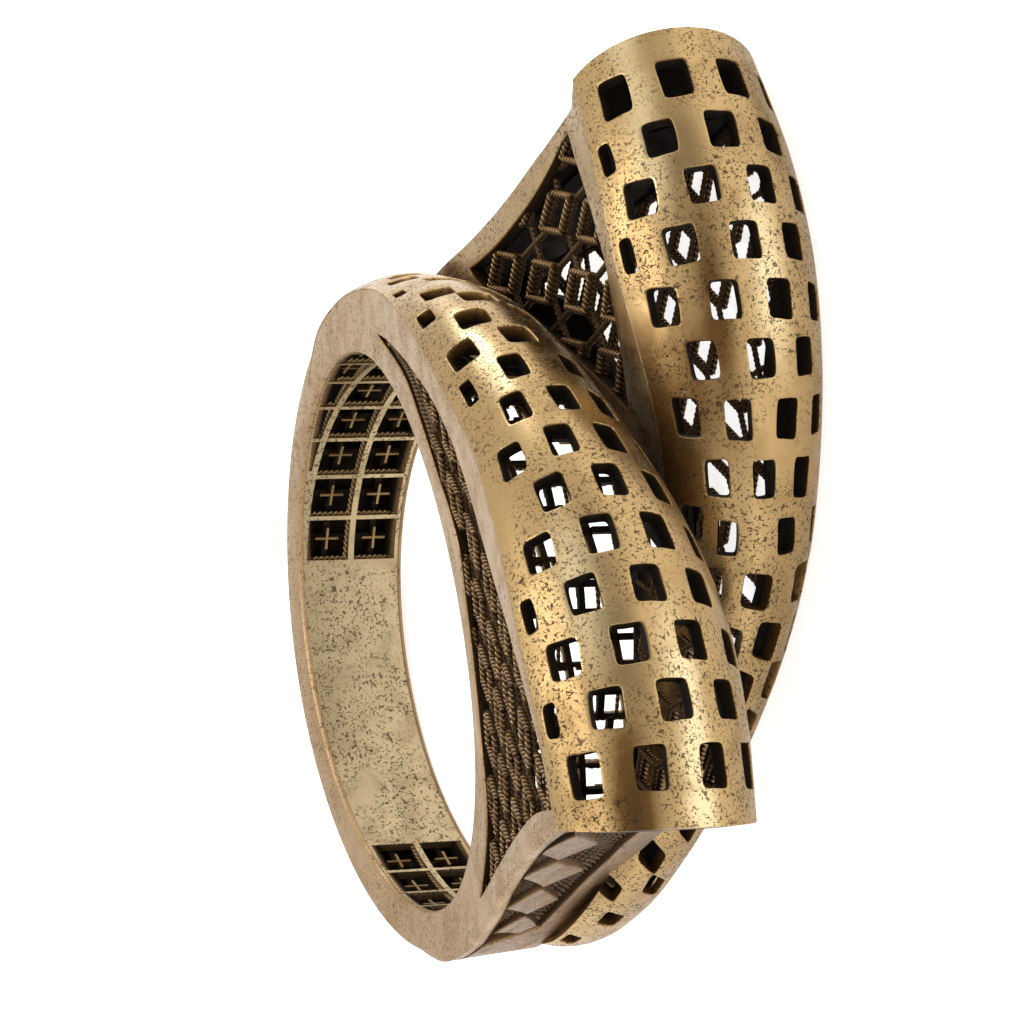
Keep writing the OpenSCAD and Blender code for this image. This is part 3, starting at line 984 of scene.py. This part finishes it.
def group_worn_brass():
    """Pits, mottling and patina of worn antique brass, with the painted shade and painted highlights
    that the points' patina values carry, as colours, masks and a height.
    """
    group = bpy.data.node_groups.new("worn_brass", "ShaderNodeTree")
    colour, number = "NodeSocketColor", "NodeSocketFloat"
    # Sheen and wear is the bright colour in which highlights are painted
    for name, kind, value in (
            ("Polished", colour, (0.80, 0.56, 0.26, 1)), ("Tarnished", colour, (0.30, 0.17, 0.07, 1)),
            ("Black", colour, (0.014, 0.009, 0.005, 1)), ("Sheen and wear", colour, (0.88, 0.70, 0.40, 1)),
            ("Pit size", number, 5200.0), ("Pits", number, 0.5), ("Gloss", number, 0.28),
            ("Matt", number, 0.5)):
        socket = group.interface.new_socket(name, in_out="INPUT", socket_type=kind)
        socket.default_value = value
    for name, kind in (("Colour", colour), ("Roughness", number), ("Metallic", number),
                       ("Height", number)):
        group.interface.new_socket(name, in_out="OUTPUT", socket_type=kind)
    new = group.nodes.new
    given, out = new("NodeGroupInput").outputs, new("NodeGroupOutput")
    where = new("ShaderNodeTexCoord").outputs["Object"]

    def noise(scale, detail, distortion=0.0):
        node = new("ShaderNodeTexNoise")
        set_inputs(node, {"Vector": where, "Scale": scale, "Detail": detail,
                          "Distortion": distortion, "Roughness": 0.5})
        return node.outputs["Fac"]

    def ramp(value, low, high, start=0.0, stop=1.0):
        node = new("ShaderNodeMapRange")
        node.interpolation_type = "SMOOTHSTEP"
        set_inputs(node, {"Value": value, "From Min": low, "From Max": high, "To Min": start,
                          "To Max": stop})
        return node.outputs["Result"]

    def maths(kind, first, second, clamp=True):
        node = new("ShaderNodeMath")
        node.operation = kind
        node.use_clamp = clamp
        set_inputs(node, {0: first, 1: second})
        return node.outputs[0]

    def mix(share, first, second):
        node = new("ShaderNodeMix")
        node.data_type = "RGBA"
        set_inputs(node, {0: share, 6: first, 7: second})
        return node.outputs[2]

    # Patina of each point, with its painted shade, dark reflections and highlights
    patina_and_shading = new("ShaderNodeAttribute")
    patina_and_shading.attribute_name = "patina_and_shading"
    patina_and_shading = patina_and_shading.outputs["Fac"]
    # Pits lie in patches, large and small ones mixed
    large = ramp(noise(given["Pit size"], 1.5, 0.9), 0.60, 0.66)
    patches = ramp(noise(420, 3, 0.4), 0.30, 0.52)
    small = noise(maths("MULTIPLY", given["Pit size"], 1.7, clamp=False), 1.0, 0.6)
    pits = maths("MAXIMUM", large, ramp(small, 0.60, 0.65))
    pits = maths("MULTIPLY", pits, maths("MULTIPLY", patches, given["Pits"]))
    mottle = ramp(noise(900, 4, 0.6), 0.35, 0.75)
    fine = noise(9000, 2)
    dark = maths("MULTIPLY", patina_and_shading, ramp(fine, 0.2, 0.7, 0.92, 1.0))
    # Polished, tarnished, bright where the patina is below 0, then black in the recesses and pits.
    # Below 0 the patina paints highlights on the leaves and brightens the end walls' lower end; above
    # 0 it is patina together with painted shade and painted dark reflections.
    tarnish_and_shade = maths("ADD", maths("MULTIPLY", mottle, 0.22), ramp(dark, 0.0, 0.55))
    body = mix(tarnish_and_shade, given["Polished"], given["Tarnished"])
    # Painted highlights: the bright colour where the patina is below 0
    sheen_and_wear = maths("MULTIPLY", ramp(patina_and_shading, -0.42, -0.02, 1.0, 0.0), ramp(mottle, 0.0, 1.0, 1.0, 0.7))
    body = mix(sheen_and_wear, body, given["Sheen and wear"])
    body = mix(ramp(dark, 0.45, 0.95), body, given["Black"])
    body = mix(maths("MULTIPLY", pits, 0.85), body, given["Black"])
    pitted = maths("ADD", pits, dark)
    gloss = ramp(mottle, 0.0, 1.0, given["Gloss"], given["Matt"])
    height = maths("ADD", maths("MULTIPLY", fine, 0.25), 0.6)
    set_inputs(out, {
        "Colour": body, "Roughness": maths("ADD", gloss, maths("MULTIPLY", pitted, 0.35)),
        "Metallic": ramp(pitted, 0.3, 1.0, 1.0, 0.45),
        "Height": maths("SUBTRACT", height, maths("MULTIPLY", pits, 0.6))})
    return group


worn_brass = group_worn_brass()
# Strength and depth in metres of the relief of pits and grain
RELIEF, RELIEF_DEPTH = 0.25, 0.00003


def brass(name, polished, tarnished, pit_size, pits, gloss, matt):
    material = bpy.data.materials.new(name)
    material.use_nodes = True
    nodes = material.node_tree.nodes
    sheen_and_wear = nodes.new("ShaderNodeGroup")
    sheen_and_wear.node_tree = worn_brass
    set_inputs(sheen_and_wear, {"Polished": (*polished, 1), "Tarnished": (*tarnished, 1),
                      "Pit size": pit_size, "Pits": pits, "Gloss": gloss, "Matt": matt})
    relief = nodes.new("ShaderNodeBump")
    set_inputs(relief, {"Strength": RELIEF, "Distance": RELIEF_DEPTH,
                        "Height": sheen_and_wear.outputs["Height"]})
    set_inputs(nodes["Principled BSDF"], {
        "Base Color": sheen_and_wear.outputs["Colour"], "Roughness": sheen_and_wear.outputs["Roughness"],
        "Metallic": sheen_and_wear.outputs["Metallic"], "Normal": relief.outputs["Normal"],
        "Specular IOR Level": 0.2})
    return material


leaf_brass = brass("leaf_brass", (0.50, 0.335, 0.15), (0.14, 0.07, 0.02), 7400, 0.9, 0.24, 0.40)
satin_brass = brass("satin_brass", (0.48, 0.325, 0.175), (0.25, 0.14, 0.06), 8000, 0.6, 0.36, 0.5)
inner_brass = brass("inner_brass", (0.50, 0.36, 0.20), (0.13, 0.065, 0.02), 7000, 0.9, 0.3, 0.45)
end_brass = brass("end_brass", (0.27, 0.165, 0.085), (0.13, 0.07, 0.03), 8000, 0.6, 0.38, 0.52)
wire_brass = brass("wire_brass", (0.56, 0.345, 0.155), (0.11, 0.062, 0.028), 8000, 0.3, 0.28, 0.5)
bead_brass = brass("bead_brass", (0.60, 0.43, 0.22), (0.20, 0.12, 0.05), 8000, 0.3, 0.28, 0.45)
liner_brass = brass("liner_brass", (0.62, 0.49, 0.29), (0.22, 0.14, 0.065), 6800, 0.85, 0.32, 0.5)

# Pieces
for leaf, holes in (("near", TAIL_NEAR), ("far", TAIL_FAR)):
    LeafShell(leaf).make("leaf_" + leaf, leaf_brass, other=leaf == "far")
    leaf_tail(holes + TAIL_END, leaf).make("leaf_tail_" + leaf, leaf_brass, other=leaf == "far")

finger_hole = circle(BORE, 0, 360, 181)[:-1]
side_hole, inner_hole = (loop_of(panel, PANEL_STEP) for panel in (SIDE_PANEL, INNER_PANEL))
side_faces, inner_faces = Store(), Store()
# The walls of the net openings are painted dark as shade
plate(side_faces, side_outline(), [(finger_hole, 0.12, 0.15), (side_hole, 0.06, 0.8)],
      side_surface, SIDE_WALL, 0.12, slope=0.1, face=side_darkening)
side_faces.make("side_faces", satin_brass, both=True)
plate(inner_faces, inner_outline(), [(inner_hole, 0.06, 0.75)], inner_surface, SIDE_WALL, 0.05,
      face=valley_shade)
inner_faces.make("inner_faces", inner_brass, both=True)
side_net(side_hole).make("side_nets", wire_brass, both=True, sharp=80)
inner_net = diamond_net(inner_hole, inner_surface, (13.95, 8.2), 5, (0.22, 0.42), 1.12, 0.115)
inner_net.make("inner_nets", wire_brass, both=True, sharp=80)

bars, crosses, lattice = lining()
bars.make("lining", liner_brass)
crosses.make("lining_crosses", bead_brass, sharp=60)
lattice.make("lining_lattice", wire_brass)
shank_shell().make("shank", satin_brass)

end_frame().make("end_walls", end_brass, both=True)
end_filling().make("end_wall_wires", wire_brass, both=True, sharp=80)
end_back().make("end_wall_backs", wire_brass, both=True)


# Stage
def glowing_paper():
    """The paper glows with its own light: brightly to the camera, which sees it white, and more dimly
    in what the metal reflects and in the light it casts on the ring.
    """
    material = bpy.data.materials.new("glowing_paper")
    material.use_nodes = True
    nodes = material.node_tree.nodes
    rays = nodes.new("ShaderNodeLightPath")
    glow = nodes.new("ShaderNodeMapRange")
    set_inputs(glow, {"Value": rays.outputs["Is Camera Ray"], "To Min": 0.32, "To Max": 0.75})
    set_inputs(nodes["Principled BSDF"], {
        "Base Color": (0.9, 0.9, 0.9, 1), "Roughness": 0.8, "Emission Color": (1, 1, 1, 1),
        "Emission Strength": glow.outputs["Result"]})
    return material


floor_mesh = bpy.data.meshes.new("floor")
floor_mesh.from_pydata([(-1.5, -1.5, 0), (1.5, -1.5, 0), (1.5, 1.5, 0), (-1.5, 1.5, 0)], [],
                       [(0, 1, 2, 3)])
floor_mesh.materials.append(glowing_paper())
floor = add_to_scene("floor", floor_mesh)

# Camera, in the ring's own frame: its place, the way it looks and its right-hand side
eye = place([128.39, -41.16, 53.92])
ahead = unit(np.array([-0.8718, 0.3056, -0.3827]))
right = np.array([0.3523, -0.1517, -0.9235])
right = unit(right - ahead * (right @ ahead))
axes = np.stack([REST @ right, REST @ np.cross(right, ahead), -(REST @ ahead)], 1)
FOCAL_PIXELS, PHOTO_WIDTH, SENSOR = 4619.4, 1024, 36
camera_data = bpy.data.cameras.new("camera")
camera_data.sensor_fit = "HORIZONTAL"
camera_data.sensor_width = SENSOR
camera_data.lens = FOCAL_PIXELS / PHOTO_WIDTH * SENSOR
camera = add_to_scene("camera", camera_data)
camera.matrix_world = Matrix.Translation(eye) @ Matrix(axes.tolist()).to_4x4()
scene.camera = camera


def lamp(name, at, size, power, aim=(0, 0, 0.006)):
    data = bpy.data.lights.new(name, "AREA")
    data.shape = "RECTANGLE"
    data.size, data.size_y = size
    data.energy = power
    light = add_to_scene(name, data)
    light.location = at
    light.rotation_euler = (Vector(aim) - Vector(at)).to_track_quat("-Z", "Y").to_euler()


def light_tent():
    """White all round, darker on the side that the camera is on."""
    world = bpy.data.worlds.new("room")
    scene.world = world
    world.use_nodes = True
    nodes = world.node_tree.nodes
    way = nodes.new("ShaderNodeTexCoord")
    toward = nodes.new("ShaderNodeVectorMath")
    toward.operation = "DOT_PRODUCT"
    opening = unit(np.array([0.90, 0.31, 0.30]))
    set_inputs(toward, {0: way.outputs["Generated"], 1: REST @ opening})
    tent = nodes.new("ShaderNodeMapRange")
    tent.interpolation_type = "SMOOTHSTEP"
    set_inputs(tent, {"Value": toward.outputs["Value"], "From Min": 0.90, "From Max": 0.98,
                      "To Min": 0.95, "To Max": 0.40})
    set_inputs(nodes["Background"], {"Color": (1.0, 0.985, 0.96, 1),
                                     "Strength": tent.outputs["Result"]})


lamp("top_soft", (0.0, 0.05, 0.35), (0.25, 0.25), 0.38)
lamp("side_soft", (-0.02, 0.40, 0.08), (0.20, 0.10), 0.19)
light_tent()
scene.view_settings.view_transform = "Standard"
